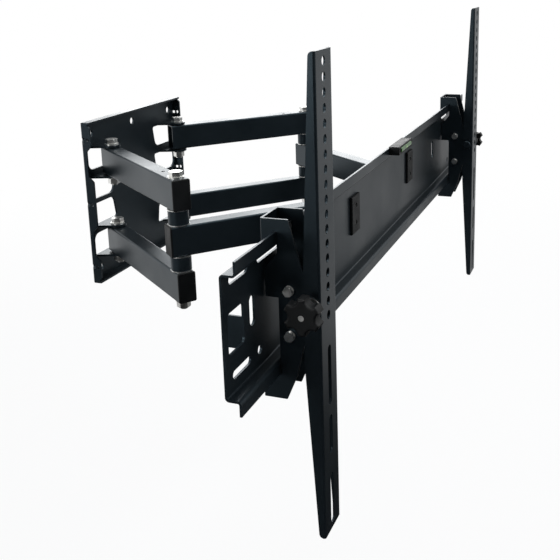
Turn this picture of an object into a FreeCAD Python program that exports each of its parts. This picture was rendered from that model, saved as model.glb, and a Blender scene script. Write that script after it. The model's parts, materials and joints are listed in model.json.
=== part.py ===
import FreeCAD, Part
import math
import os

V = FreeCAD.Vector

# Frame: wall plane at y = 0, room towards -Y, +Z up, origin at the centre of the wall bolt pattern (mm)

# Linkage: four equal links between equal pivot spacings, as it stands at rest
PIVOT_HALF_SPACING = 82.0
WALL_PIVOT_REACH = 23.0
LINK_LENGTH = 200.0
SPLAY_DEG = 43.0
SIDE_SWING_DEG = 5.0
WEB_TO_TV_PIVOT = 21.0

# Arm tubes
TUBE_HEIGHT = 33.0
TUBE_WIDTH = 20.0
TUBE_WALL = 1.5
TUBE_CORNER = 2.0
TUBE_PAST_PIVOT = 11.0
ARM_LEVEL = 50.0
CLIP_HOLE_RADIUS = 2.0
CLIP_HOLE_FROM_ELBOW = 35.0
CAP_THICKNESS = 2.0
CAP_PLUG_DEPTH = 4.0
FIT_GAP = 0.05
LOOP_END_GAP = 0.3

# Pivot hardware
BOLT_RADIUS = 4.0
BOLT_HEAD_FLATS = 13.0
BOLT_HEAD_HEIGHT = 5.3
NUT_HEIGHT = 6.5
WASHER_RADIUS = 8.5
WASHER_THICKNESS = 1.6
BUSH_RADIUS = 6.0
BUSH_DEPTH = 8.0
BUSH_FLANGE_RADIUS = 9.5
BUSH_FLANGE_THICKNESS = 1.0
SPACER_RADIUS = 11.0
SPACER_SEAT_RADIUS = 11.3
SPACER_SEAT_THICKNESS = 1.0
THREAD_END = 2.0
HEX_EASE = 0.3
HEX_BEVEL = 0.8

# Wall plate
WALL_PLATE_WIDTH = 222.0
WALL_PLATE_HEIGHT = 202.0
WALL_SHEET = 2.5
WALL_FLANGE_DEEP = 13.0
WALL_FLANGE_SHALLOW = 6.5
SCALLOP_INNER_Z = 28.0
SCALLOP_OUTER_Z = 72.0
WALL_LIP_DEPTH = 12.0
WALL_BEND_RADIUS = 3.0
TAB_ROOT_WIDTH = 36.0
TAB_END_RADIUS = 11.0
WINDOW_INNER_X = 50.0
WINDOW_OUTER_X = 103.0
WINDOW_HEIGHT = 27.0
WINDOW_TAPER = 5.0
WINDOW_ROOT_CORNER = 3.0
WINDOW_END_CORNER = 9.0
NOTCH_RADIUS = 3.0
NOTCH_SPACING = 80.0
FLANGE_HOLE_RADIUS = 2.0
FLANGE_HOLE_REACH = 9.0
LAG_SPACING_X = 188.0
LAG_SPACING_Z = 170.0
LAG_HOLE_RADIUS = 4.5

# Cross plate, a hat-section channel
CROSS_LENGTH = 894.0
CROSS_WEB_HEIGHT = 104.0
CROSS_DEPTH = 14.0
CROSS_LIP = 11.0
CROSS_SHEET = 2.0
CROSS_BEND_RADIUS = 1.5
END_WINDOW_INSET = 7.0
END_WINDOW_WIDTH = 29.0
END_WINDOW_HEIGHT = 34.0
END_WINDOW_CORNER = 4.0
END_TAB_TOP_Z = 4.0
END_TAB_HEIGHT = 28.0
END_TAB_REACH = 18.0
LONG_SLOT_INSET = 89.0
LONG_SLOT_LENGTH = 48.0
END_SLOT_INSET = 29.0
END_SLOT_LENGTH = 34.0
LONG_SLOT_WIDTH = 7.0
LONG_SLOT_UPPER_Z = 42.5
LONG_SLOT_LOWER_Z = -36.0
LOWER_HOLE_INSET = 64.0
LOWER_HOLE_RADIUS = 4.0
UPRIGHT_SLOT_LENGTH = 26.0
UPRIGHT_SLOT_WIDTH = 10.0
UPRIGHT_SLOT_INSETS = (52.0, 176.0)
UPRIGHT_SLOT_Z = 3.5

# Hinge brackets behind the web and their clamp pads in front of it
HINGE_SHEET = 2.5
HINGE_TAB_RADIUS = 11.0
HINGE_TAB_ROOT = 30.0
HINGE_BASE_MARGIN = 7.0
PAD_CENTRE_X = 122.0
PAD_CENTRE_Z = 10.0
PAD_WIDTH = 28.0
PAD_HEIGHT = 42.0
PAD_THICKNESS = 3.0
PAD_CORNER = 1.5
SCREW_SPACING = 20.0
SCREW_RADIUS = 2.5
SCREW_HEAD_RADIUS = 4.5
SCREW_HEAD_HEIGHT = 3.0
SCREW_RECESS = 1.0

# Bubble level on the upper lip
LEVEL_CENTRE_X = 10.0
LEVEL_LENGTH = 60.0
LEVEL_DEPTH = 13.0
LEVEL_HEIGHT = 10.0
LEVEL_ABOVE_LIP = 2.0
LEVEL_EDGE_RADIUS = 1.0
VIAL_RADIUS = 3.5
VIAL_LENGTH = 46.0
VIAL_INSET = 2.0

# Rail brackets that hook over the lips
BRACKET_SHEET = 2.0
BRACKET_TOP_Z = 74.0
BRACKET_TOP_FRONT = 24.5
BRACKET_FOOT_DEPTH = 22.5
BRACKET_FOOT_FRONT = 19.3
BRACKET_FOOT_BACK = 2.0
BRACKET_SHOULDER_FRONT = 29.0
BRACKET_NOSE_RADIUS = 6.0
BRACKET_BEND_RADIUS = 1.5
HOOK_GAP = 0.3
HOOK_SEAT_GAP = 0.1
HOOK_REAR_GAP = 1.2
TONGUE_GAP = 0.5
TONGUE_TOP_Z = 45.0
TONGUE_SHOULDER_Z = 30.0
TONGUE_BOTTOM_Z = 6.0
TIE_BOLT_REACH = 24.0
TIE_BOLT_UPPER_Z = 13.0
TIE_BOLT_LOWER_Z = -27.0
TIE_BOLT_RADIUS = 2.5
TIE_HEAD_FLATS = 8.0
TIE_HEAD_HEIGHT = 3.5
TIE_NUT_HEIGHT = 4.0
TIE_WASHER_RADIUS = 4.6
TIE_WASHER_THICKNESS = 1.0
TIE_SPACER_RADIUS = 4.0

# Upright rails
RAIL_END_INSET = 96.0
RAIL_REACH = 52.0
RAIL_WIDTH = 39.0
RAIL_SHEET = 1.5
RAIL_TOP_Z = 210.0
RAIL_BOTTOM_Z = -214.0
RAIL_DEPTH_END = 5.8
RAIL_DEPTH_MIDDLE = 15.0
RAIL_MIDDLE_TOP_Z = 20.0
RAIL_MIDDLE_BOTTOM_Z = -56.0
RAIL_END_CORNER = 4.0
RAIL_BEND_RADIUS = 0.5
RAIL_SIDE_GAP = 0.2
RAIL_HOLE_RADIUS = 4.0
RAIL_HOLE_PITCH = 12.5
RAIL_HOLE_COUNT = 18
RAIL_FIRST_HOLE = 9.0
RAIL_SLOT_WIDTH = 8.0
FIRST_SLOT_TOP_Z = -39.0
FIRST_SLOT_LENGTH = 55.0
SECOND_SLOT_TOP_Z = -104.0
SECOND_SLOT_LENGTH = 37.0
THIRD_SLOT_TOP_Z = -160.0
THIRD_SLOT_LENGTH = 49.0

# Tilt pivot and its knob
TILT_PIVOT_REACH = 43.0
TILT_BOLT_RADIUS = 4.0
TILT_HEAD_RADIUS = 6.5
TILT_HEAD_HEIGHT = 3.0
TILT_WASHER_RADIUS = 10.0
TILT_WASHER_THICKNESS = 1.5
KNOB_RADIUS = 16.0
KNOB_THICKNESS = 12.0
KNOB_HUB_RADIUS = 8.0
KNOB_HUB_LENGTH = 8.0
KNOB_LOBES = 6
KNOB_SCALLOP_RADIUS = 5.5
KNOB_SCALLOP_OFFSET = 1.5
KNOB_EDGE_RADIUS = 1.8
KNOB_INSERT_RADIUS = 5.5
KNOB_SKIN = 3.0
KNOB_NIB_RADIUS = 2.5

LEFT = -1
RIGHT = 1
SIDES = {"left": LEFT, "right": RIGHT}

nodes = {}


def box(x, y, z):
    return Part.makeBox(x[1] - x[0], y[1] - y[0], z[1] - z[0], V(x[0], y[0], z[0]))


def upright_cylinder(radius, x, y, z):
    return Part.makeCylinder(radius, z[1] - z[0], V(x, y, z[0]))


def cross_cylinder(radius, x, y, z):
    return Part.makeCylinder(radius, x[1] - x[0], V(x[0], y, z), V(1, 0, 0))


def through_cylinder(radius, x, y, z):
    return Part.makeCylinder(radius, y[1] - y[0], V(x, y[0], z), V(0, 1, 0))


def ring(outer, inner, x, y, z):
    return upright_cylinder(outer, x, y, z).cut(upright_cylinder(inner, x, y, z))


def cross_ring(outer, inner, x, y, z):
    return cross_cylinder(outer, x, y, z).cut(cross_cylinder(inner, x, y, z))


def prism(points, direction):
    return Part.Face(Part.makePolygon(points + points[:1])).extrude(direction)


def bevelled(blank):
    """A round blank with both rims turned off, which eases the corners of a hexagon cut from it."""
    rims = [edge for edge in blank.Edges if isinstance(edge.Curve, Part.Circle)]
    return blank.makeChamfer(HEX_BEVEL, rims)


def hexagon(flats, x, y, z):
    radius = flats / math.sqrt(3)
    corners = [V(x + radius * math.cos(math.pi * k / 3), y + radius * math.sin(math.pi * k / 3), z[0])
               for k in range(6)]
    blank = bevelled(upright_cylinder(radius + HEX_EASE, x, y, z))
    return prism(corners, V(0, 0, z[1] - z[0])).common(blank)


def cross_hexagon(flats, x, y, z):
    radius = flats / math.sqrt(3)
    corners = [V(x[0], y + radius * math.cos(math.pi * k / 3), z + radius * math.sin(math.pi * k / 3))
               for k in range(6)]
    blank = bevelled(cross_cylinder(radius + HEX_EASE, x, y, z))
    return prism(corners, V(x[1] - x[0], 0, 0)).common(blank)


def slot_through_web(x, z, half_x, half_z, y):
    """An obround opening through a sheet that faces the room."""
    radius = min(half_x, half_z)
    run_x = half_x - radius
    run_z = half_z - radius
    if run_x > run_z:
        tool = box((x - run_x, x + run_x), y, (z - radius, z + radius))
        ends = [(x - run_x, z), (x + run_x, z)]
    else:
        tool = box((x - radius, x + radius), y, (z - run_z, z + run_z))
        ends = [(x, z - run_z), (x, z + run_z)]
    for end_x, end_z in ends:
        tool = tool.fuse(through_cylinder(radius, end_x, y, end_z))
    return tool


def edges_along(shape, direction, spots):
    """Straight edges parallel to a direction that pass within a hair of one of the spots."""
    found = []
    for edge in shape.Edges:
        if not isinstance(edge.Curve, Part.Line):
            continue
        along = edge.tangentAt(edge.FirstParameter)
        if abs(abs(along.dot(direction)) - 1) > 1e-6:
            continue
        start = edge.valueAt(edge.FirstParameter)
        for spot in spots:
            offset = start.sub(spot)
            if offset.sub(direction * offset.dot(direction)).Length < 1e-3:
                found.append(edge)
                break
    return found


def folded_strip(points, sheet, inner_radius, direction, length):
    """A bent sheet: the polyline of one face, thickened to its left and extruded, with rounded bends."""
    normal = direction.normalize()
    units = [points[k + 1].sub(points[k]).normalize() for k in range(len(points) - 1)]
    lefts = [normal.cross(unit) for unit in units]
    far = [points[0].add(lefts[0] * sheet)]
    inner_spots = []
    outer_spots = []
    for k in range(1, len(points) - 1):
        bisector = lefts[k - 1].add(lefts[k])
        corner = points[k].add(bisector * (sheet / (1 + lefts[k - 1].dot(lefts[k]))))
        far.append(corner)
        turns_left = normal.dot(units[k - 1].cross(units[k])) > 0
        inner_spots.append(corner if turns_left else points[k])
        outer_spots.append(points[k] if turns_left else corner)
    far.append(points[-1].add(lefts[-1] * sheet))
    body = prism(points + far[::-1], normal * length)
    body = body.makeFillet(inner_radius, edges_along(body, normal, inner_spots))
    return body.makeFillet(inner_radius + sheet, edges_along(body, normal, outer_spots))


# Pivot places worked out from the linkage
splay = math.radians(SPLAY_DEG)
swing = math.radians(SIDE_SWING_DEG)
wall_pivot = {name: V(side * PIVOT_HALF_SPACING, -WALL_PIVOT_REACH, 0) for name, side in SIDES.items()}
arm_angle = {"left": swing - splay, "right": swing + splay}
arm_direction = {name: V(math.sin(angle), -math.cos(angle), 0) for name, angle in arm_angle.items()}
elbow = {name: wall_pivot[name].add(arm_direction[name] * LINK_LENGTH) for name in SIDES}
reach = 2 * LINK_LENGTH * math.cos(splay)
tv_pivot = {name: wall_pivot[name].add(V(math.sin(swing), -math.cos(swing), 0) * reach) for name in SIDES}
TV_X = (tv_pivot["left"].x + tv_pivot["right"].x) / 2
WEB_Y = tv_pivot["left"].y - WEB_TO_TV_PIVOT

tube_top = TUBE_HEIGHT / 2
bush_stack = BUSH_FLANGE_THICKNESS + 2 * FIT_GAP
running_radius = BOLT_RADIUS + FIT_GAP


def tv_place(shape):
    return shape.translated(V(TV_X, WEB_Y, 0))


def turned(shape, start, end):
    """Lay a link that was modelled along +X from one pivot to the other."""
    run = end.sub(start)
    shape = shape.copy()
    shape.rotate(V(0, 0, 0), V(0, 0, 1), math.degrees(math.atan2(run.y, run.x)))
    return shape.translated(V(start.x, start.y, 0))


# Links along +X, first pivot at the origin
def tube(level, first_hole, last_hole):
    ends = (-TUBE_PAST_PIVOT, LINK_LENGTH + TUBE_PAST_PIVOT)
    heights = (level - tube_top, level + tube_top)
    half = TUBE_WIDTH / 2
    outer = box(ends, (-half, half), heights)
    rims = [V(0, y, z) for y in (-half, half) for z in heights]
    outer = outer.makeFillet(TUBE_CORNER, edges_along(outer, V(1, 0, 0), rims))
    bore = box(ends, (TUBE_WALL - half, half - TUBE_WALL), (heights[0] + TUBE_WALL, heights[1] - TUBE_WALL))
    shape = outer.cut(bore)
    shape = shape.cut(upright_cylinder(first_hole, 0, 0, heights))
    return shape.cut(upright_cylinder(last_hole, LINK_LENGTH, 0, heights))


def clip_hole(level):
    """The small hole on top of an upper arm where a cable clip snaps in."""
    top = level + tube_top
    return upright_cylinder(CLIP_HOLE_RADIUS, LINK_LENGTH - CLIP_HOLE_FROM_ELBOW, 0, (top - TUBE_WALL, top))


def end_cap(level, at_far_end):
    """A moulded plug: a plate flush with the tube and a spigot inside it."""
    half = TUBE_WIDTH / 2
    spigot_half = half - TUBE_WALL - FIT_GAP
    spigot_top = tube_top - TUBE_WALL - FIT_GAP
    plate = box((0, CAP_THICKNESS), (-half, half), (-tube_top, tube_top))
    rims = [V(0, y, z) for y in (-half, half) for z in (-tube_top, tube_top)]
    plate = plate.makeFillet(TUBE_CORNER, edges_along(plate, V(1, 0, 0), rims))
    face = [edge for edge in plate.Edges if edge.BoundBox.XMin > CAP_THICKNESS - 1e-6]
    plate = plate.makeFillet(CAP_THICKNESS / 2, face)
    spigot = box((-CAP_PLUG_DEPTH, 0), (-spigot_half, spigot_half), (-spigot_top, spigot_top))
    cap = plate.fuse(spigot)
    if not at_far_end:
        cap.rotate(V(0, 0, 0), V(0, 0, 1), 180)
    place = LINK_LENGTH + TUBE_PAST_PIVOT if at_far_end else -TUBE_PAST_PIVOT
    return cap.translated(V(place, 0, level))


def flanged_bush(x, y, face, outward, bore_gap):
    """A bush set into a tube wall at height face, its flange on the outward side."""
    flange = sorted((face + outward * FIT_GAP, face + outward * (FIT_GAP + BUSH_FLANGE_THICKNESS)))
    sleeve = sorted((face + outward * FIT_GAP, face - outward * BUSH_DEPTH))
    shape = upright_cylinder(BUSH_FLANGE_RADIUS, x, y, flange)
    shape = shape.fuse(upright_cylinder(BUSH_RADIUS, x, y, sleeve))
    span = (min(flange[0], sleeve[0]), max(flange[1], sleeve[1]))
    return shape.cut(upright_cylinder(BOLT_RADIUS + bore_gap, x, y, span))


def bush_pair(x, y, level, bore_gap):
    return [flanged_bush(x, y, level + tube_top, 1, bore_gap),
            flanged_bush(x, y, level - tube_top, -1, bore_gap)]


def pivot_set(x, y, top, bottom):
    """Bolt with its head above the washer at the top face, nut and washer at the bottom face."""
    head_seat = top + WASHER_THICKNESS
    head = hexagon(BOLT_HEAD_FLATS, x, y, (head_seat, head_seat + BOLT_HEAD_HEIGHT))
    nut_top = bottom - WASHER_THICKNESS
    shank_end = nut_top - NUT_HEIGHT - THREAD_END
    bolt = head.fuse(upright_cylinder(BOLT_RADIUS, x, y, (shank_end, head_seat)))
    nut = hexagon(BOLT_HEAD_FLATS, x, y, (nut_top - NUT_HEIGHT, nut_top))
    nut = nut.cut(upright_cylinder(BOLT_RADIUS, x, y, (nut_top - NUT_HEIGHT, nut_top)))
    washers = [ring(WASHER_RADIUS, running_radius, x, y, (top, head_seat)),
               ring(WASHER_RADIUS, running_radius, x, y, (nut_top, bottom))]
    return bolt, nut, washers


# Wall plate
def side_flange(side):
    """The scalloped flange on one side, as an outline in y and z pushed through the sheet thickness."""
    top = WALL_PLATE_HEIGHT / 2
    deep = WALL_FLANGE_DEEP
    shallow = WALL_FLANGE_SHALLOW
    ramp = deep - shallow
    upper = [(deep, SCALLOP_INNER_Z), (shallow, SCALLOP_INNER_Z + ramp), (shallow, SCALLOP_OUTER_Z - ramp),
             (deep, SCALLOP_OUTER_Z), (deep, top - ramp), (shallow, top)]
    lower = [(depth, -z) for depth, z in reversed(upper)]
    outline = [(0, -top)] + lower + upper + [(0, top)]
    edge_x = side * WALL_PLATE_WIDTH / 2
    points = [V(edge_x, -depth, z) for depth, z in outline]
    flange = prism(points, V(-side * WALL_SHEET, 0, 0))
    free = [point for point in points if point.y < 0 and abs(point.z) < top]
    return flange.makeFillet(WALL_SHEET, edges_along(flange, V(1, 0, 0), free))


def wall_window(side, root_z, away):
    """A trapezoid opening whose root edge carries a pivot tab and whose far edge is shorter."""
    near = side * WINDOW_INNER_X
    far = side * WINDOW_OUTER_X
    end_z = root_z + away * WINDOW_HEIGHT
    corners = [(near, root_z), (far, root_z), (far, end_z), (near + side * WINDOW_TAPER, end_z)]
    points = [V(x, -WALL_SHEET, z) for x, z in corners]
    opening = prism(points, V(0, WALL_SHEET, 0))
    opening = opening.makeFillet(WINDOW_ROOT_CORNER, edges_along(opening, V(0, 1, 0), points[:2]))
    return opening.makeFillet(WINDOW_END_CORNER, edges_along(opening, V(0, 1, 0), points[2:]))


def wall_tab(side, heights):
    x = side * PIVOT_HALF_SPACING
    y = -WALL_PIVOT_REACH
    root = TAB_ROOT_WIDTH / 2
    outline = [(x - root, -WALL_SHEET), (x - TAB_END_RADIUS, y), (x + TAB_END_RADIUS, y),
               (x + root, -WALL_SHEET), (x + root, 0), (x - root, 0)]
    tab = prism([V(px, py, heights[0]) for px, py in outline], V(0, 0, heights[1] - heights[0]))
    tab = tab.fuse(upright_cylinder(TAB_END_RADIUS, x, y, heights))
    return tab.cut(upright_cylinder(running_radius, x, y, heights))


def wall_tab_heights():
    """Tab bands above and below each arm tube, with the side their window lies on."""
    bands = []
    for level in (ARM_LEVEL, -ARM_LEVEL):
        above = level + tube_top + bush_stack
        below = level - tube_top - bush_stack
        bands.append((above, above + WALL_SHEET))
        bands.append((below - WALL_SHEET, below))
    return bands


def wall_plate():
    half_x = WALL_PLATE_WIDTH / 2
    half_z = WALL_PLATE_HEIGHT / 2
    shape = box((-half_x, half_x), (-WALL_SHEET, 0), (-half_z, half_z))
    for end in (-1, 1):
        lip = sorted((end * half_z, end * (half_z - WALL_SHEET)))
        shape = shape.fuse(box((-half_x, half_x), (-WALL_LIP_DEPTH, 0), lip))
    for side in SIDES.values():
        shape = shape.fuse(side_flange(side))
    shape = shape.removeSplitter()
    rims = [V(x, 0, z) for x in (-half_x, half_x) for z in (-half_z, half_z)]
    shape = shape.makeFillet(WALL_BEND_RADIUS, edges_along(shape, V(0, 0, 1), rims)
                             + edges_along(shape, V(1, 0, 0), rims))
    for side in SIDES.values():
        for number, band in enumerate(wall_tab_heights()):
            upper = number < 2
            root_z = band[0] if upper else band[1]
            shape = shape.cut(wall_window(side, root_z, -1 if upper else 1))
        for band in wall_tab_heights():
            shape = shape.fuse(wall_tab(side, band))
        flange_x = sorted((side * half_x, side * (half_x - WALL_SHEET)))
        notch_y = (-WALL_SHEET - WALL_BEND_RADIUS, 0)
        for z in (-NOTCH_SPACING, 0, NOTCH_SPACING):
            shape = shape.cut(through_cylinder(NOTCH_RADIUS, side * half_x, notch_y, z))
            shape = shape.cut(cross_cylinder(FLANGE_HOLE_RADIUS, flange_x, -FLANGE_HOLE_REACH, z))
    for x in (-LAG_SPACING_X / 2, 0, LAG_SPACING_X / 2):
        for z in (-LAG_SPACING_Z / 2, LAG_SPACING_Z / 2):
            shape = shape.cut(through_cylinder(LAG_HOLE_RADIUS, x, (-WALL_SHEET, 0), z))
    return shape.removeSplitter()


def wall_pivots():
    bolts = []
    nuts = []
    washers = []
    for name in SIDES:
        for level in (ARM_LEVEL, -ARM_LEVEL):
            outer = tube_top + bush_stack + WALL_SHEET
            pivot = wall_pivot[name]
            bolt, nut, pair = pivot_set(pivot.x, pivot.y, level + outer, level - outer)
            bolts.append(bolt)
            nuts.append(nut)
            washers += pair
    nodes["wall_pivot_bolts"] = Part.makeCompound(bolts)
    nodes["wall_pivot_nuts"] = Part.makeCompound(nuts)
    nodes["wall_pivot_washers"] = Part.makeCompound(washers)


# One side of the linkage
def linkage_side(name):
    start, bend, end = wall_pivot[name], elbow[name], tv_pivot[name]
    bush_hole = BUSH_RADIUS + FIT_GAP
    tv_bore_gap = FIT_GAP if name == "left" else LOOP_END_GAP
    levels = {"upper": ARM_LEVEL, "lower": -ARM_LEVEL}
    for label, level in levels.items():
        arm = tube(level, bush_hole, running_radius)
        if label == "upper":
            arm = arm.cut(clip_hole(level))
        nodes[f"{name}_{label}_arm"] = turned(arm, start, bend)
    caps = [turned(end_cap(level, True), start, bend) for level in levels.values()]
    nodes[f"{name}_arm_caps"] = Part.makeCompound(caps)
    wall_bushes = []
    for level in levels.values():
        wall_bushes += bush_pair(start.x, start.y, level, FIT_GAP)
    nodes[f"{name}_wall_bushes"] = Part.makeCompound(wall_bushes)

    nodes[f"{name}_forearm"] = turned(tube(0, running_radius, bush_hole), bend, end)
    caps = [turned(end_cap(0, far), bend, end) for far in (False, True)]
    nodes[f"{name}_forearm_caps"] = Part.makeCompound(caps)
    nodes[f"{name}_tv_bushes"] = Part.makeCompound(bush_pair(end.x, end.y, 0, tv_bore_gap))

    arm_outer = ARM_LEVEL + tube_top
    bolt, nut, washers = pivot_set(bend.x, bend.y, arm_outer, -arm_outer)
    nodes[f"{name}_elbow_bolt"] = bolt
    nodes[f"{name}_elbow_nut"] = nut
    arm_inner = ARM_LEVEL - tube_top
    seat = tube_top + FIT_GAP
    spacers = []
    for up in (1, -1):
        body = sorted((up * (seat + SPACER_SEAT_THICKNESS), up * (arm_inner - SPACER_SEAT_THICKNESS)))
        spacers.append(ring(SPACER_RADIUS, running_radius, bend.x, bend.y, body))
        for inside in (seat, arm_inner - SPACER_SEAT_THICKNESS):
            band = sorted((up * inside, up * (inside + SPACER_SEAT_THICKNESS)))
            washers.append(ring(SPACER_SEAT_RADIUS, running_radius, bend.x, bend.y, band))
    nodes[f"{name}_elbow_spacers"] = Part.makeCompound(spacers)
    nodes[f"{name}_elbow_washers"] = Part.makeCompound(washers)


# Cross plate, modelled about its own centre with the back of the web at y = 0
def cross_plate():
    half = CROSS_LENGTH / 2
    flange = CROSS_WEB_HEIGHT / 2
    tip = flange + CROSS_LIP
    lip = CROSS_DEPTH - CROSS_SHEET
    face = [(lip, -tip), (lip, -flange), (0, -flange), (0, flange), (lip, flange), (lip, tip)]
    points = [V(-half, -depth, z) for depth, z in face]
    shape = folded_strip(points, CROSS_SHEET, CROSS_BEND_RADIUS, V(1, 0, 0), CROSS_LENGTH)
    web = (-CROSS_SHEET, 0)
    for side in SIDES.values():
        slots = ((LONG_SLOT_INSET, LONG_SLOT_LENGTH, LONG_SLOT_UPPER_Z),
                 (END_SLOT_INSET, END_SLOT_LENGTH, LONG_SLOT_UPPER_Z),
                 (END_SLOT_INSET, END_SLOT_LENGTH, LONG_SLOT_LOWER_Z))
        for inset, length, z in slots:
            x = side * (half - inset)
            shape = shape.cut(slot_through_web(x, z, length / 2, LONG_SLOT_WIDTH / 2, web))
        x = side * (half - LOWER_HOLE_INSET)
        shape = shape.cut(through_cylinder(LOWER_HOLE_RADIUS, x, web, LONG_SLOT_LOWER_Z))
        for inset in UPRIGHT_SLOT_INSETS:
            x = side * (half - inset)
            shape = shape.cut(slot_through_web(x, UPRIGHT_SLOT_Z, UPRIGHT_SLOT_WIDTH / 2,
                                               UPRIGHT_SLOT_LENGTH / 2, web))
        outer = half - END_WINDOW_INSET
        inner = outer - END_WINDOW_WIDTH
        window_x = sorted((side * inner, side * outer))
        opening = box(window_x, web, (-END_WINDOW_HEIGHT / 2, END_WINDOW_HEIGHT / 2))
        corners = [V(x, 0, z) for x in window_x for z in (-END_WINDOW_HEIGHT / 2, END_WINDOW_HEIGHT / 2)]
        shape = shape.cut(opening.makeFillet(END_WINDOW_CORNER, edges_along(opening, V(0, 1, 0), corners)))
        tab_x = sorted((side * inner, side * (inner - CROSS_SHEET)))
        tab = box(tab_x, (-CROSS_SHEET, END_TAB_REACH), (END_TAB_TOP_Z - END_TAB_HEIGHT, END_TAB_TOP_Z))
        shape = shape.fuse(tab)
        for screw_z in pad_screw_heights():
            shape = shape.cut(through_cylinder(SCREW_RADIUS + FIT_GAP, side * PAD_CENTRE_X, web, screw_z))
    return shape.removeSplitter()


def pad_screw_heights():
    return (PAD_CENTRE_Z - SCREW_SPACING / 2, PAD_CENTRE_Z + SCREW_SPACING / 2)


def hinge_bracket(side):
    """Base plate on the back of the web with two tabs that hold the forearm pivot."""
    x = side * PIVOT_HALF_SPACING
    y = WEB_TO_TV_PIVOT
    inner = tube_top + bush_stack
    outer = inner + HINGE_SHEET
    base_x = sorted((side * (PIVOT_HALF_SPACING - HINGE_TAB_ROOT / 2),
                     side * (PAD_CENTRE_X + PAD_WIDTH / 2 + HINGE_BASE_MARGIN)))
    base_top = PAD_CENTRE_Z + PAD_HEIGHT / 2
    shape = box(base_x, (0, HINGE_SHEET), (-outer, base_top))
    for band in ((inner, outer), (-outer, -inner)):
        root = HINGE_TAB_ROOT / 2
        outline = [(x - root, 0), (x + root, 0), (x + root, HINGE_SHEET), (x + HINGE_TAB_RADIUS, y),
                   (x - HINGE_TAB_RADIUS, y), (x - root, HINGE_SHEET)]
        tab = prism([V(px, py, band[0]) for px, py in outline], V(0, 0, HINGE_SHEET))
        tab = tab.fuse(upright_cylinder(HINGE_TAB_RADIUS, x, y, band))
        shape = shape.fuse(tab.cut(upright_cylinder(running_radius, x, y, band)))
    screw_x = side * PAD_CENTRE_X
    for z in pad_screw_heights():
        shape = shape.cut(through_cylinder(SCREW_RADIUS + FIT_GAP, screw_x, (0, HINGE_SHEET), z))
    return shape.removeSplitter()


def clamp_pad(side):
    x = side * PAD_CENTRE_X
    front = (-CROSS_SHEET - PAD_THICKNESS, -CROSS_SHEET)
    pad = box((x - PAD_WIDTH / 2, x + PAD_WIDTH / 2), front,
              (PAD_CENTRE_Z - PAD_HEIGHT / 2, PAD_CENTRE_Z + PAD_HEIGHT / 2))
    face = [edge for edge in pad.Edges if edge.BoundBox.YMax < front[0] + 1e-6]
    pad = pad.makeFillet(PAD_CORNER, face)
    for z in pad_screw_heights():
        pad = pad.cut(through_cylinder(SCREW_RADIUS + FIT_GAP, x, front, z))
    return pad


def pad_screws():
    screws = []
    tip = -CROSS_SHEET - PAD_THICKNESS + SCREW_RECESS
    for side in SIDES.values():
        for z in pad_screw_heights():
            shank = through_cylinder(SCREW_RADIUS, side * PAD_CENTRE_X, (tip, HINGE_SHEET), z)
            head = through_cylinder(SCREW_HEAD_RADIUS, side * PAD_CENTRE_X,
                                    (HINGE_SHEET, HINGE_SHEET + SCREW_HEAD_HEIGHT), z)
            screws.append(tv_place(shank.fuse(head)))
    return Part.makeCompound(screws)


def bubble_level():
    """A moulded block on the front of the upper lip, with a vial let into its own front."""
    back = -CROSS_DEPTH
    front = back - LEVEL_DEPTH
    top = CROSS_WEB_HEIGHT / 2 + CROSS_LIP + LEVEL_ABOVE_LIP
    ends = (LEVEL_CENTRE_X - LEVEL_LENGTH / 2, LEVEL_CENTRE_X + LEVEL_LENGTH / 2)
    body = box(ends, (front, back), (top - LEVEL_HEIGHT, top))
    rims = [V(0, front, z) for z in (top - LEVEL_HEIGHT, top)]
    body = body.makeFillet(LEVEL_EDGE_RADIUS, edges_along(body, V(1, 0, 0), rims))
    vial_x = (LEVEL_CENTRE_X - VIAL_LENGTH / 2, LEVEL_CENTRE_X + VIAL_LENGTH / 2)
    vial = cross_cylinder(VIAL_RADIUS, vial_x, front + VIAL_INSET, top - LEVEL_HEIGHT / 2)
    nodes["level_body"] = tv_place(body.cut(vial))
    nodes["level_vial"] = tv_place(vial)


def tv_head():
    nodes["cross_plate"] = tv_place(cross_plate())
    bolts = []
    nuts = []
    washers = []
    for name, side in SIDES.items():
        nodes[f"{name}_hinge_bracket"] = tv_place(hinge_bracket(side))
        nodes[f"{name}_clamp_pad"] = tv_place(clamp_pad(side))
        outer = tube_top + bush_stack + HINGE_SHEET
        bolt, nut, pair = pivot_set(tv_pivot[name].x, tv_pivot[name].y, outer, -outer)
        bolts.append(bolt)
        nuts.append(nut)
        washers += pair
    nodes["tv_pivot_bolts"] = Part.makeCompound(bolts)
    nodes["tv_pivot_nuts"] = Part.makeCompound(nuts)
    nodes["tv_pivot_washers"] = Part.makeCompound(washers)
    nodes["pad_screws"] = pad_screws()
    bubble_level()


# Rail bracket, modelled about the centre line of its rail
bracket_half = RAIL_WIDTH / 2 - RAIL_SHEET - RAIL_SIDE_GAP
tie_bolt_heights = (TIE_BOLT_LOWER_Z, TIE_BOLT_UPPER_Z)


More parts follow.
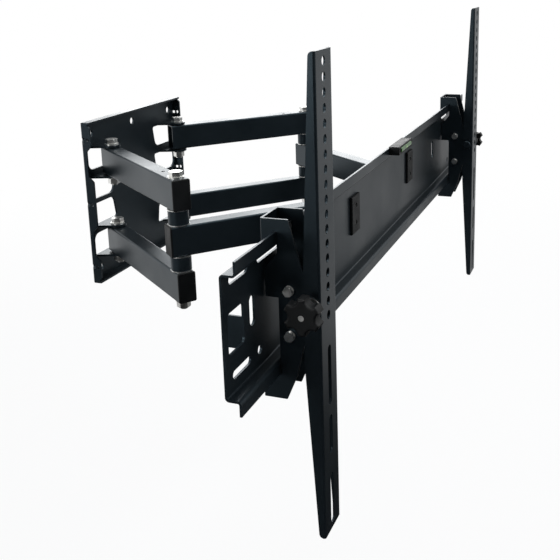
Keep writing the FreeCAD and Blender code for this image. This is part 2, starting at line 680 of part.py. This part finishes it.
def rail_bracket():
    lip_top = CROSS_WEB_HEIGHT / 2 + CROSS_LIP
    flange = CROSS_WEB_HEIGHT / 2
    hook_rear = -CROSS_DEPTH + CROSS_SHEET + HOOK_REAR_GAP
    hook_front = -CROSS_DEPTH - HOOK_GAP
    tongue_rear = -CROSS_SHEET - TONGUE_GAP
    foot_top = -lip_top - HOOK_GAP
    foot_bottom = foot_top - BRACKET_FOOT_DEPTH
    nose = TILT_PIVOT_REACH
    radius = BRACKET_NOSE_RADIUS
    seat = lip_top + HOOK_SEAT_GAP
    outline = [(-BRACKET_TOP_FRONT, BRACKET_TOP_Z), (0, BRACKET_TOP_Z),
               (0, flange + HOOK_GAP), (hook_rear, flange + HOOK_GAP),
               (hook_rear, seat), (hook_front, seat), (hook_front, TONGUE_TOP_Z),
               (tongue_rear, TONGUE_SHOULDER_Z), (tongue_rear, TONGUE_BOTTOM_Z),
               (hook_front, TONGUE_BOTTOM_Z), (hook_front, foot_top),
               (BRACKET_FOOT_BACK, foot_top), (BRACKET_FOOT_BACK, foot_bottom),
               (-BRACKET_FOOT_FRONT, foot_bottom), (-BRACKET_SHOULDER_FRONT, foot_top), (-nose, -radius)]
    points = [V(-bracket_half, y, z) for y, z in outline]
    edges = [Part.LineSegment(a, b).toShape() for a, b in zip(points, points[1:])]
    top_of_nose = V(-bracket_half, -nose, radius)
    edges.append(Part.Arc(points[-1], V(-bracket_half, -nose - radius, 0), top_of_nose).toShape())
    edges.append(Part.LineSegment(top_of_nose, points[0]).toShape())
    solid = Part.Face(Part.Wire(edges)).extrude(V(2 * bracket_half, 0, 0))
    bends = [V(x, y, z) for x in (-bracket_half, bracket_half)
             for y, z in ((0, BRACKET_TOP_Z), (BRACKET_FOOT_BACK, foot_top))]
    solid = solid.makeFillet(BRACKET_BEND_RADIUS, edges_along(solid, V(0, 0, 1), bends))
    inside = bracket_half - BRACKET_SHEET
    upper = box((-inside, inside), (-2 * nose, -BRACKET_SHEET), (0, 2 * BRACKET_TOP_Z))
    lower = box((-inside, inside), (-2 * nose, BRACKET_FOOT_BACK - BRACKET_SHEET), (-2 * BRACKET_TOP_Z, 0))
    shape = solid.cut(upper).cut(lower)
    width = (-bracket_half, bracket_half)
    for z in tie_bolt_heights:
        shape = shape.cut(cross_cylinder(TIE_BOLT_RADIUS + FIT_GAP, width, -TIE_BOLT_REACH, z))
    return shape.cut(cross_cylinder(TILT_BOLT_RADIUS + FIT_GAP, width, -nose, 0))


def tie_hardware():
    """Bolts that tie the two cheeks of a bracket, heads on the left cheek."""
    inside = bracket_half - BRACKET_SHEET
    washer = TIE_WASHER_THICKNESS
    bolts, nuts, washers, spacers = [], [], [], []
    for z in tie_bolt_heights:
        y = -TIE_BOLT_REACH
        seat = bracket_half + washer
        head = cross_hexagon(TIE_HEAD_FLATS, (-seat - TIE_HEAD_HEIGHT, -seat), y, z)
        nut_span = (seat, seat + TIE_NUT_HEIGHT)
        shank = cross_cylinder(TIE_BOLT_RADIUS, (-seat, nut_span[1] + washer), y, z)
        bolts.append(head.fuse(shank))
        nut = cross_hexagon(TIE_HEAD_FLATS, nut_span, y, z)
        nuts.append(nut.cut(cross_cylinder(TIE_BOLT_RADIUS, nut_span, y, z)))
        for span in ((-seat, -bracket_half), (bracket_half, seat)):
            washers.append(cross_ring(TIE_WASHER_RADIUS, TIE_BOLT_RADIUS + FIT_GAP, span, y, z))
        spacers.append(cross_ring(TIE_SPACER_RADIUS, TIE_BOLT_RADIUS + FIT_GAP, (-inside, inside), y, z))
    return bolts, nuts, washers, spacers


def rail():
    """Upright U-section with flanges that deepen towards the tilt pivot."""
    half = RAIL_WIDTH / 2
    front = -RAIL_REACH
    depths = [(RAIL_TOP_Z, RAIL_DEPTH_END), (RAIL_MIDDLE_TOP_Z, RAIL_DEPTH_MIDDLE),
              (RAIL_MIDDLE_BOTTOM_Z, RAIL_DEPTH_MIDDLE), (RAIL_BOTTOM_Z, RAIL_DEPTH_END)]
    outline = [(front, RAIL_BOTTOM_Z), (front, RAIL_TOP_Z)] + [(front + depth, z) for z, depth in depths]
    points = [V(-half, y, z) for y, z in outline]
    solid = prism(points, V(RAIL_WIDTH, 0, 0))
    ends = [points[2], points[5]]
    solid = solid.makeFillet(RAIL_END_CORNER, edges_along(solid, V(1, 0, 0), ends))
    bends = [V(x, front, 0) for x in (-half, half)]
    solid = solid.makeFillet(RAIL_BEND_RADIUS + RAIL_SHEET, edges_along(solid, V(0, 0, 1), bends))
    inner = half - RAIL_SHEET
    hollow = box((-inner, inner), (front + RAIL_SHEET, front + 2 * RAIL_DEPTH_MIDDLE),
                 (RAIL_BOTTOM_Z, RAIL_TOP_Z))
    roots = [V(x, front + RAIL_SHEET, 0) for x in (-inner, inner)]
    hollow = hollow.makeFillet(RAIL_BEND_RADIUS, edges_along(hollow, V(0, 0, 1), roots))
    shape = solid.cut(hollow)
    face = (front, front + RAIL_SHEET)
    for k in range(RAIL_HOLE_COUNT):
        z = RAIL_TOP_Z - RAIL_FIRST_HOLE - k * RAIL_HOLE_PITCH
        shape = shape.cut(through_cylinder(RAIL_HOLE_RADIUS, 0, face, z))
    slots = ((FIRST_SLOT_TOP_Z, FIRST_SLOT_LENGTH), (SECOND_SLOT_TOP_Z, SECOND_SLOT_LENGTH),
             (THIRD_SLOT_TOP_Z, THIRD_SLOT_LENGTH))
    for top, length in slots:
        shape = shape.cut(slot_through_web(0, top - length / 2, RAIL_SLOT_WIDTH / 2, length / 2, face))
    return shape.cut(cross_cylinder(TILT_BOLT_RADIUS + FIT_GAP, (-half, half), -TILT_PIVOT_REACH, 0))


def knob_parts():
    """Clamp bolt across the rail, washer and lobed knob with its threaded insert, knob on the left."""
    y = -TILT_PIVOT_REACH
    seat = RAIL_WIDTH / 2 + FIT_GAP
    washer_face = seat + TILT_WASHER_THICKNESS
    hub = (washer_face + FIT_GAP, washer_face + FIT_GAP + KNOB_HUB_LENGTH)
    grip = (hub[1], hub[1] + KNOB_THICKNESS)
    bore = TILT_BOLT_RADIUS + FIT_GAP
    socket_end = grip[1] - KNOB_SKIN
    bolt_end = socket_end - KNOB_SKIN
    bolt = cross_cylinder(TILT_BOLT_RADIUS, (-bolt_end, seat), y, 0)
    head = cross_cylinder(TILT_HEAD_RADIUS, (seat, seat + TILT_HEAD_HEIGHT), y, 0)
    rim = [edge for edge in head.Edges if edge.BoundBox.XMin > seat + TILT_HEAD_HEIGHT - 1e-6]
    bolt = bolt.fuse(head.makeFillet(TILT_HEAD_HEIGHT / 2, rim))
    washer = cross_ring(TILT_WASHER_RADIUS, bore, (-washer_face, -seat), y, 0)
    body = cross_cylinder(KNOB_RADIUS, (-grip[1], -grip[0]), y, 0)
    for k in range(KNOB_LOBES):
        angle = 2 * math.pi * k / KNOB_LOBES
        far = KNOB_RADIUS + KNOB_SCALLOP_OFFSET
        body = body.cut(cross_cylinder(KNOB_SCALLOP_RADIUS, (-grip[1], -grip[0]),
                                       y + far * math.cos(angle), far * math.sin(angle)))
    face = [edge for edge in body.Edges if edge.BoundBox.XMax < -grip[1] + 1e-6]
    body = body.makeFillet(KNOB_EDGE_RADIUS, face)
    body = body.fuse(cross_cylinder(KNOB_HUB_RADIUS, (-grip[0], -hub[0]), y, 0))
    insert = cross_cylinder(KNOB_INSERT_RADIUS, (-socket_end, -hub[0]), y, 0)
    insert = insert.fuse(cross_cylinder(KNOB_NIB_RADIUS, (-grip[1], -socket_end), y, 0))
    body = body.cut(insert)
    insert = insert.cut(cross_cylinder(bore, (-bolt_end - FIT_GAP, -hub[0]), y, 0))
    return {"tilt_bolt": bolt, "tilt_washer": washer, "knob": body, "knob_insert": insert}


def rail_side(name, side):
    shift = V(side * (CROSS_LENGTH / 2 - RAIL_END_INSET), 0, 0)
    bolts, nuts, washers, spacers = tie_hardware()
    shapes = {"rail_bracket": rail_bracket(), "rail": rail(), "tie_bolts": Part.makeCompound(bolts),
              "tie_nuts": Part.makeCompound(nuts), "tie_washers": Part.makeCompound(washers),
              "tie_spacers": Part.makeCompound(spacers)}
    for label, shape in knob_parts().items():
        shapes[label] = shape if side == LEFT else shape.mirror(V(0, 0, 0), V(1, 0, 0))
    for label, shape in shapes.items():
        nodes[f"{name}_{label}"] = tv_place(shape.translated(shift))


nodes["wall_plate"] = wall_plate()
wall_pivots()
for side_name in SIDES:
    linkage_side(side_name)
tv_head()
for side_name, side_sign in SIDES.items():
    rail_side(side_name, side_sign)

os.makedirs("parts", exist_ok=True)
for node_name, node_shape in nodes.items():
    node_shape.exportStep(os.path.join("parts", node_name + ".step"))
print(len(nodes), "nodes")
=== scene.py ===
import json
import math

import bpy
from mathutils import Matrix, Vector


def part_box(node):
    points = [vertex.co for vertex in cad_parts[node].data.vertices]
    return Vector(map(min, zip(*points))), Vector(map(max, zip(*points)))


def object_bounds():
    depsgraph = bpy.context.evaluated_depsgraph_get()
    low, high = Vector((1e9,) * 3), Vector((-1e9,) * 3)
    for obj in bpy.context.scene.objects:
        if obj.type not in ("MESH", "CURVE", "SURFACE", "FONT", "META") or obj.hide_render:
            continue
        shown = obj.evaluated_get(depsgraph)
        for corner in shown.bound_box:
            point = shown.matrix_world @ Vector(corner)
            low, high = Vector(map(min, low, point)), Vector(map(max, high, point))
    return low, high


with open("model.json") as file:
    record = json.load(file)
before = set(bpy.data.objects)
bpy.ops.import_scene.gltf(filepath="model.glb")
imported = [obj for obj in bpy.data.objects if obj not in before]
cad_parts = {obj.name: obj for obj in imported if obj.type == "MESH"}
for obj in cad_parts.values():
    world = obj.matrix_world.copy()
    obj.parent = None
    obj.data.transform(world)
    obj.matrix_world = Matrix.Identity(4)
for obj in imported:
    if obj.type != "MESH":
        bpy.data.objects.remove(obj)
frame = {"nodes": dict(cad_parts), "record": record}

nodes = frame["nodes"]
cad_low, cad_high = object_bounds()

# Camera, fitted to the photograph's 560 x 560 frame
IMAGE_SIZE = 560
CAMERA_PLACE = Vector((-0.9616, -0.6147, 0.2682))
CAMERA_YAW = math.radians(69.1)
CAMERA_PITCH = math.radians(13.4)
CAMERA_ROLL = math.radians(-1.5)
FOCAL_PIXELS = 858.8
CENTRE_PIXEL = (307.7, 177.4)
SENSOR_MM = 36.0
CLIP_NEAR = 0.01
CLIP_FAR = 100.0

# Floor: a disc that is mixed with white, more so further out
FLOOR_DROP = 0.35
FLOOR_RADIUS = 6.0
FLOOR_SIDES = 96
FLOOR_COLOUR = (0.80, 0.81, 0.82, 1.0)
FLOOR_ROUGHNESS = 0.9
FLOOR_WHITE = 0.84
FLOOR_FADE = (0.9, 2.6)

# Surroundings: bright on one side, dim on the other and below
WHITE = (1.0, 1.0, 1.0, 1.0)
BRIGHT_SIDE = (0.5, 0.866, 0.45)
BRIGHT_SPREAD = (-0.42, 0.75)
DIM_SIDE = 0.20
LOW_AXIS = (0.22, 0.08, 1.0)
LOW_SPREAD = (-0.33, -0.20)
LOW_DIM = 0.04
SKY_COLOUR = (0.53, 0.55, 0.57, 1.0)

# Lamps: place from the middle of the part, size and watts
SOFTBOXES = {
    "overhead": ((0.2, 0.1, 2.0), 2.2, 24.0),
    "front": ((0.3, -2.3, 1.5), 1.6, 32.0),
    "back": ((2.3, 1.0, 0.75), 1.5, 24.0),
    "left": ((-2.0, 0.8, 0.30), 0.7, 9.0),
}

# Noise: repeats a metre for each scale, and the part of its range that is used
NOISE_MIDDLE = (0.3, 0.7)
FINE_DETAIL = 2.0
CLOUD_DETAIL = 3.0
NO_STRETCH = (1.0, 1.0, 1.0)
BUMP_DEPTH = 0.0002

# Black powder coat
COAT_CLOUD = 14.0
COAT_PEEL = 900.0
COAT_TONES = ((0.0055, 0.0080, 0.0102), (0.0082, 0.0116, 0.0146))
COAT_ROUGHNESS = (0.30, 0.40)
COAT_TINT = (0.62, 0.85, 1.0, 1.0)
COAT_BUMP = 0.10

# Bright zinc plate
ZINC_CLOUD = 160.0
ZINC_LINES = 500.0
ZINC_STRETCH = (1.0, 1.0, 6.0)
ZINC_TONES = ((0.82, 0.82, 0.79), (0.97, 0.97, 0.95))
ZINC_ROUGHNESS = (0.28, 0.42)
ZINC_BUMP = 0.12

# Black moulded plastic
PLASTIC_CLOUD = 60.0
PLASTIC_GRAIN = 2200.0
PLASTIC_TONES = ((0.0020, 0.0028, 0.0034), (0.0034, 0.0046, 0.0054))
PLASTIC_ROUGHNESS = (0.46, 0.60)
PLASTIC_SPECULAR = 0.32
PLASTIC_BUMP = 0.25

# Level vial: green acrylic with a bubble between two printed lines
VIAL_CLOUD = 220.0
VIAL_TONES = ((0.030, 0.130, 0.018), (0.050, 0.185, 0.028))
VIAL_ROUGHNESS = (0.08, 0.16)
VIAL_TRANSMISSION = 0.25
VIAL_IOR = 1.47
VIAL_LINE_OFFSET = 0.0065
VIAL_LINE_SPREAD = (0.0004, 0.0006)
VIAL_LINE_COLOUR = (0.004, 0.005, 0.004)
BUBBLE_OFFSET = 0.0008
BUBBLE_HALF_LENGTH = 0.0046
BUBBLE_HALF_HEIGHT = 0.0021
BUBBLE_SPREAD = (0.75, 1.0)
BUBBLE_COLOUR = (0.20, 0.42, 0.10)


def shader_tree(name):
    """A new material, its node tree and its principled shader."""
    material = bpy.data.materials.new(name)
    material.use_nodes = True
    return material, material.node_tree, material.node_tree.nodes["Principled BSDF"]


def noise_of(tree, scale, detail=FINE_DETAIL, stretch=NO_STRETCH):
    """Noise in the piece's own coordinates."""
    place = tree.nodes.new("ShaderNodeTexCoord")
    mapping = tree.nodes.new("ShaderNodeMapping")
    mapping.inputs["Scale"].default_value = stretch
    noise = tree.nodes.new("ShaderNodeTexNoise")
    noise.inputs["Scale"].default_value = scale
    noise.inputs["Detail"].default_value = detail
    tree.links.new(place.outputs["Object"], mapping.inputs["Vector"])
    tree.links.new(mapping.outputs["Vector"], noise.inputs["Vector"])
    return noise.outputs["Fac"]


def tone_of(tree, noise, tones):
    """A colour that the noise moves between two tones."""
    ramp = tree.nodes.new("ShaderNodeValToRGB")
    for element, place, tone in zip(ramp.color_ramp.elements, NOISE_MIDDLE, tones):
        element.position = place
        element.color = (*tone, 1.0)
    tree.links.new(noise, ramp.inputs["Fac"])
    return ramp.outputs["Color"]


def range_of(tree, value, spread, low, high, smooth=False):
    """The value mapped from the spread's two ends to low and high."""
    node = tree.nodes.new("ShaderNodeMapRange")
    if smooth:
        node.interpolation_type = "SMOOTHSTEP"
    node.inputs["From Min"].default_value, node.inputs["From Max"].default_value = spread
    node.inputs["To Min"].default_value = low
    node.inputs["To Max"].default_value = high
    tree.links.new(value, node.inputs["Value"])
    return node.outputs["Result"]


def math_of(tree, operation, *values, clamp=False):
    """One math step on sockets and plain numbers."""
    node = tree.nodes.new("ShaderNodeMath")
    node.operation = operation
    node.use_clamp = clamp
    for socket, value in zip(node.inputs, values):
        if isinstance(value, float):
            socket.default_value = value
        else:
            tree.links.new(value, socket)
    return node.outputs["Value"]


def mix_of(tree, factor, first, colour):
    """The first colour, changed to a plain one where the factor is 1."""
    node = tree.nodes.new("ShaderNodeMix")
    node.data_type = "RGBA"
    tree.links.new(factor, node.inputs["Factor"])
    tree.links.new(first, node.inputs["A"])
    node.inputs["B"].default_value = (*colour, 1.0)
    return node.outputs["Result"]


def dot_of(tree, direction, axis):
    """How far a direction lies along an axis."""
    node = tree.nodes.new("ShaderNodeVectorMath")
    node.operation = "DOT_PRODUCT"
    node.inputs[1].default_value = axis
    tree.links.new(direction, node.inputs[0])
    return node.outputs["Value"]


def dress(tree, shader, noise, tones, roughness):
    """Colour and roughness that both follow the same noise."""
    tree.links.new(tone_of(tree, noise, tones), shader.inputs["Base Color"])
    tree.links.new(range_of(tree, noise, NOISE_MIDDLE, *roughness), shader.inputs["Roughness"])


def grain(tree, shader, noise, strength):
    """A fine bump from noise."""
    bump = tree.nodes.new("ShaderNodeBump")
    bump.inputs["Strength"].default_value = strength
    bump.inputs["Distance"].default_value = BUMP_DEPTH
    tree.links.new(noise, bump.inputs["Height"])
    tree.links.new(bump.outputs["Normal"], shader.inputs["Normal"])


def powder_coat():
    """Black powder coat: satin, with a faint orange peel and a slow change of tone."""
    material, tree, shader = shader_tree("black_powder_coat")
    dress(tree, shader, noise_of(tree, COAT_CLOUD, CLOUD_DETAIL), COAT_TONES, COAT_ROUGHNESS)
    shader.inputs["Specular Tint"].default_value = COAT_TINT
    grain(tree, shader, noise_of(tree, COAT_PEEL), COAT_BUMP)
    return material


def zinc_plate():
    """Bright zinc plate with a slightly cloudy finish and fine drawn lines."""
    material, tree, shader = shader_tree("bright_zinc")
    shader.inputs["Metallic"].default_value = 1.0
    dress(tree, shader, noise_of(tree, ZINC_CLOUD, CLOUD_DETAIL), ZINC_TONES, ZINC_ROUGHNESS)
    grain(tree, shader, noise_of(tree, ZINC_LINES, stretch=ZINC_STRETCH), ZINC_BUMP)
    return material


def moulded_plastic():
    """Black moulded plastic with a fine spark-eroded grain."""
    material, tree, shader = shader_tree("black_moulded_plastic")
    dress(tree, shader, noise_of(tree, PLASTIC_CLOUD), PLASTIC_TONES, PLASTIC_ROUGHNESS)
    shader.inputs["Specular IOR Level"].default_value = PLASTIC_SPECULAR
    grain(tree, shader, noise_of(tree, PLASTIC_GRAIN), PLASTIC_BUMP)
    return material


def vial_marks(tree):
    """Where the vial's printed lines and its bubble are, each as a factor."""
    low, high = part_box("level_vial")
    place = tree.nodes.new("ShaderNodeTexCoord")
    split = tree.nodes.new("ShaderNodeSeparateXYZ")
    tree.links.new(place.outputs["Object"], split.inputs["Vector"])
    along = math_of(tree, "SUBTRACT", split.outputs["X"], (low[0] + high[0]) / 2)
    height = math_of(tree, "SUBTRACT", split.outputs["Z"], (low[2] + high[2]) / 2)
    from_line = math_of(tree, "SUBTRACT", math_of(tree, "ABSOLUTE", along), VIAL_LINE_OFFSET)
    from_line = math_of(tree, "ABSOLUTE", from_line)
    line = range_of(tree, from_line, VIAL_LINE_SPREAD, 1.0, 0.0, smooth=True)
    across = math_of(tree, "SUBTRACT", along, BUBBLE_OFFSET)
    across = math_of(tree, "DIVIDE", across, BUBBLE_HALF_LENGTH)
    up = math_of(tree, "DIVIDE", height, BUBBLE_HALF_HEIGHT)
    squares = [math_of(tree, "MULTIPLY", value, value) for value in (across, up)]
    reach = math_of(tree, "SQRT", math_of(tree, "ADD", *squares))
    bubble = range_of(tree, reach, BUBBLE_SPREAD, 1.0, 0.0, smooth=True)
    return line, bubble


def vial_acrylic():
    """Green tinted acrylic of the level's vial, with its bubble between two printed lines."""
    material, tree, shader = shader_tree("green_vial")
    cloud = noise_of(tree, VIAL_CLOUD)
    line, bubble = vial_marks(tree)
    green = mix_of(tree, bubble, tone_of(tree, cloud, VIAL_TONES), BUBBLE_COLOUR)
    tree.links.new(mix_of(tree, line, green, VIAL_LINE_COLOUR), shader.inputs["Base Color"])
    tree.links.new(range_of(tree, cloud, NOISE_MIDDLE, *VIAL_ROUGHNESS), shader.inputs["Roughness"])
    shader.inputs["Transmission Weight"].default_value = VIAL_TRANSMISSION
    shader.inputs["IOR"].default_value = VIAL_IOR
    return material


def finish_nodes():
    """Each carried-over piece takes the finish of its slot."""
    finishes = {"black_steel": powder_coat(), "zinc_steel": zinc_plate(),
                "black_plastic": moulded_plastic(), "green_vial": vial_acrylic()}
    for row in frame["record"]["subparts"]:
        piece = nodes[row["node"]]
        piece.data.materials.clear()
        piece.data.materials.append(finishes[row["material_slot"]])


def pale_floor():
    """A plain pale disc below the mount that turns white further out and keeps the shadow."""
    middle = (cad_low + cad_high) / 2
    bpy.ops.mesh.primitive_circle_add(vertices=FLOOR_SIDES, radius=FLOOR_RADIUS, fill_type="NGON",
                                      location=(middle.x, middle.y, cad_low.z - FLOOR_DROP))
    floor = bpy.context.object
    floor.name = "floor"
    floor.visible_glossy = False
    material, tree, shader = shader_tree("pale_floor")
    shader.inputs["Base Color"].default_value = FLOOR_COLOUR
    shader.inputs["Roughness"].default_value = FLOOR_ROUGHNESS
    shader.inputs["Specular IOR Level"].default_value = 0.0
    place = tree.nodes.new("ShaderNodeTexCoord")
    reach = tree.nodes.new("ShaderNodeVectorMath")
    reach.operation = "LENGTH"
    tree.links.new(place.outputs["Object"], reach.inputs[0])
    fade = range_of(tree, reach.outputs["Value"], FLOOR_FADE, FLOOR_WHITE, 1.0, smooth=True)
    path = tree.nodes.new("ShaderNodeLightPath")
    white = tree.nodes.new("ShaderNodeEmission")
    mix = tree.nodes.new("ShaderNodeMixShader")
    seen = math_of(tree, "ADD", path.outputs["Is Camera Ray"], path.outputs["Is Transmission Ray"],
                   clamp=True)
    tree.links.new(math_of(tree, "MULTIPLY", seen, fade), mix.inputs["Fac"])
    tree.links.new(shader.outputs["BSDF"], mix.inputs[1])
    tree.links.new(white.outputs["Emission"], mix.inputs[2])
    tree.links.new(mix.outputs["Shader"], tree.nodes["Material Output"].inputs["Surface"])
    floor.data.materials.append(material)


def studio_world():
    """White behind the part; in light and gloss, bright on one side and dim on the other."""
    world = bpy.data.worlds.new("studio")
    bpy.context.scene.world = world
    world.use_nodes = True
    tree = world.node_tree
    tree.nodes.clear()
    direction = tree.nodes.new("ShaderNodeTexCoord").outputs["Generated"]
    side = range_of(tree, dot_of(tree, direction, BRIGHT_SIDE), BRIGHT_SPREAD, DIM_SIDE, 1.0,
                    smooth=True)
    low = range_of(tree, dot_of(tree, direction, LOW_AXIS), LOW_SPREAD, LOW_DIM, 1.0, smooth=True)
    shown = math_of(tree, "MULTIPLY", side, low)
    path = tree.nodes.new("ShaderNodeLightPath")
    light = tree.nodes.new("ShaderNodeBackground")
    light.inputs["Color"].default_value = SKY_COLOUR
    tree.links.new(side, light.inputs["Strength"])
    seen = tree.nodes.new("ShaderNodeBackground")
    seen.inputs["Color"].default_value = WHITE
    tree.links.new(math_of(tree, "MAXIMUM", path.outputs["Is Camera Ray"], shown),
                   seen.inputs["Strength"])
    gloss = math_of(tree, "ADD", path.outputs["Is Glossy Ray"], path.outputs["Is Transmission Ray"])
    straight = math_of(tree, "ADD", path.outputs["Is Camera Ray"], gloss, clamp=True)
    mix = tree.nodes.new("ShaderNodeMixShader")
    tree.links.new(straight, mix.inputs["Fac"])
    tree.links.new(light.outputs["Background"], mix.inputs[1])
    tree.links.new(seen.outputs["Background"], mix.inputs[2])
    output = tree.nodes.new("ShaderNodeOutputWorld")
    tree.links.new(mix.outputs["Shader"], output.inputs["Surface"])


def softboxes():
    """Square lamps over, in front of, behind and left of the mount, each turned to its middle."""
    middle = (cad_low + cad_high) / 2
    for name, (place, size, watts) in SOFTBOXES.items():
        lamp = bpy.data.lights.new(name, "AREA")
        lamp.shape = "SQUARE"
        lamp.size = size
        lamp.energy = watts
        holder = bpy.data.objects.new(name, lamp)
        bpy.context.scene.collection.objects.link(holder)
        holder.location = middle + Vector(place)
        holder.rotation_euler = Vector(place).to_track_quat("Z", "Y").to_euler()
        holder.visible_camera = False


def camera():
    """The camera at its fitted place, with the lens shifted to the fitted centre of view."""
    data = bpy.data.cameras.new("camera")
    holder = bpy.data.objects.new("camera", data)
    bpy.context.scene.collection.objects.link(holder)
    ahead = Vector((math.sin(CAMERA_YAW) * math.cos(CAMERA_PITCH),
                    math.cos(CAMERA_YAW) * math.cos(CAMERA_PITCH), -math.sin(CAMERA_PITCH)))
    level_right = Vector((math.cos(CAMERA_YAW), -math.sin(CAMERA_YAW), 0.0))
    level_up = level_right.cross(ahead)
    right = level_right * math.cos(CAMERA_ROLL) + level_up * math.sin(CAMERA_ROLL)
    up = level_up * math.cos(CAMERA_ROLL) - level_right * math.sin(CAMERA_ROLL)
    turn = Matrix((right, up, -ahead)).transposed()
    holder.matrix_world = Matrix.Translation(CAMERA_PLACE) @ turn.to_4x4()
    data.sensor_width = SENSOR_MM
    data.lens = FOCAL_PIXELS / IMAGE_SIZE * SENSOR_MM
    data.shift_x = 0.5 - CENTRE_PIXEL[0] / IMAGE_SIZE
    data.shift_y = CENTRE_PIXEL[1] / IMAGE_SIZE - 0.5
    data.clip_start = CLIP_NEAR
    data.clip_end = CLIP_FAR
    bpy.context.scene.camera = holder


finish_nodes()
pale_floor()
studio_world()
softboxes()
camera()
bpy.context.scene.view_settings.view_transform = "Standard"
